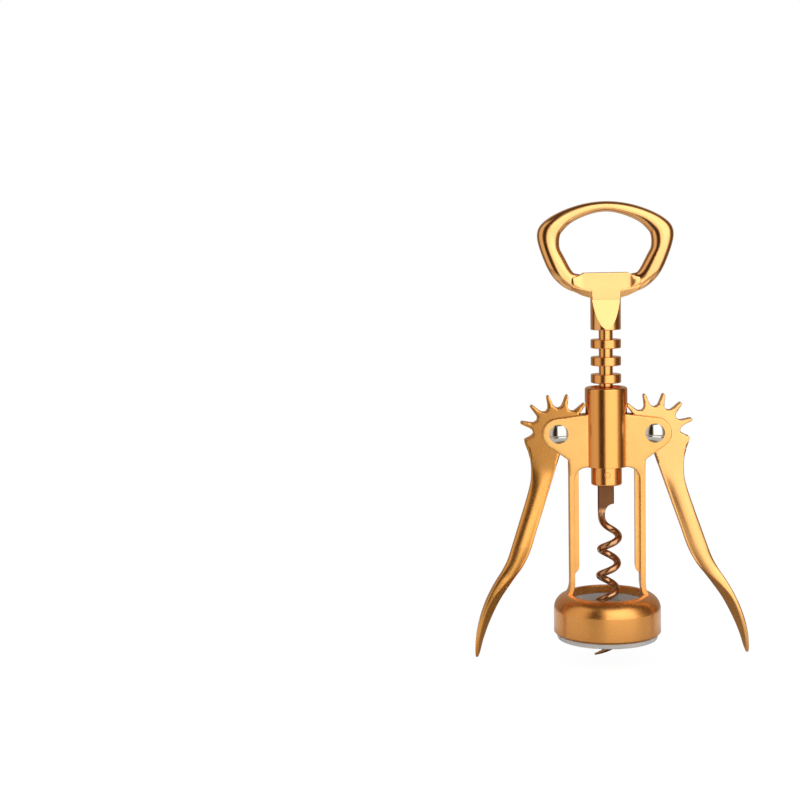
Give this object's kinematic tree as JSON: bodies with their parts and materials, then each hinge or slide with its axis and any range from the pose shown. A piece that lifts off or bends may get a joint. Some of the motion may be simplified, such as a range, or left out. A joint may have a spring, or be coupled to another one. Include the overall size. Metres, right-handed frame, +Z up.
{
  "type": "wing corkscrew",
  "caption": "Two-lever corkscrew: a bell seats on the bottle, a looped handle turns the wire worm, and geared wings lift the ringed rack and draw the cork.",
  "frame": {"origin": "centre of the liner's lower face, where the bell stands on the bottle", "axes": "+Z up along the worm towards the handle; the levers lie on +X and -X; the front looks along -Y"},
  "size_m": [0.1052, 0.041, 0.1746],
  "materials": {
    "satin_gold": "satin gold plating on a zinc casting",
    "polished_gold": "polished gold plating on a zinc casting",
    "turned_gold": "gold plating on turned metal",
    "bronze_steel": "bronze-toned steel, glossy",
    "nickel": "polished nickel",
    "liner_plastic": "translucent pale grey plastic"
  },
  "bodies": {
    "frame": {"frame_casting": "satin_gold", "bell_liner": "liner_plastic", "pivot_rivet_left": "nickel", "pivot_rivet_right": "nickel"},
    "rack": {"rack_sleeve": "turned_gold"},
    "screw": {"handle": "polished_gold", "spindle": "bronze_steel", "worm_collar": "turned_gold", "worm": "bronze_steel", "worm_pin": "turned_gold"},
    "wing_left": {"lever_left": "satin_gold"},
    "wing_right": {"lever_right": "satin_gold"}
  },
  "joints": [
    {"name": "rack_slide", "type": "slide", "parent": "frame", "child": "rack", "axis": [0, 0, 1], "range_m": [-0.032, 0.0038]},
    {"name": "handle_spin", "type": "hinge", "parent": "rack", "child": "screw", "pos_m": [0, 0, 0.093], "axis": [0, 0, 1], "continuous": true},
    {"name": "lever_left_swing", "type": "hinge", "parent": "frame", "child": "wing_left", "pos_m": [-0.0182, 0, 0.07975], "axis": [0, 1, 0], "range_deg": [-16.6, 139]},
    {"name": "lever_right_swing", "type": "hinge", "parent": "frame", "child": "wing_right", "pos_m": [0.0182, 0, 0.07975], "axis": [0, 1, 0], "range_deg": [-139, 16.6]}
  ],
  "couplings": [
    {"joint": "lever_left_swing", "follows": "rack_slide", "rad_per_m": -75.758},
    {"joint": "lever_right_swing", "follows": "rack_slide", "rad_per_m": 75.758}
  ]
}
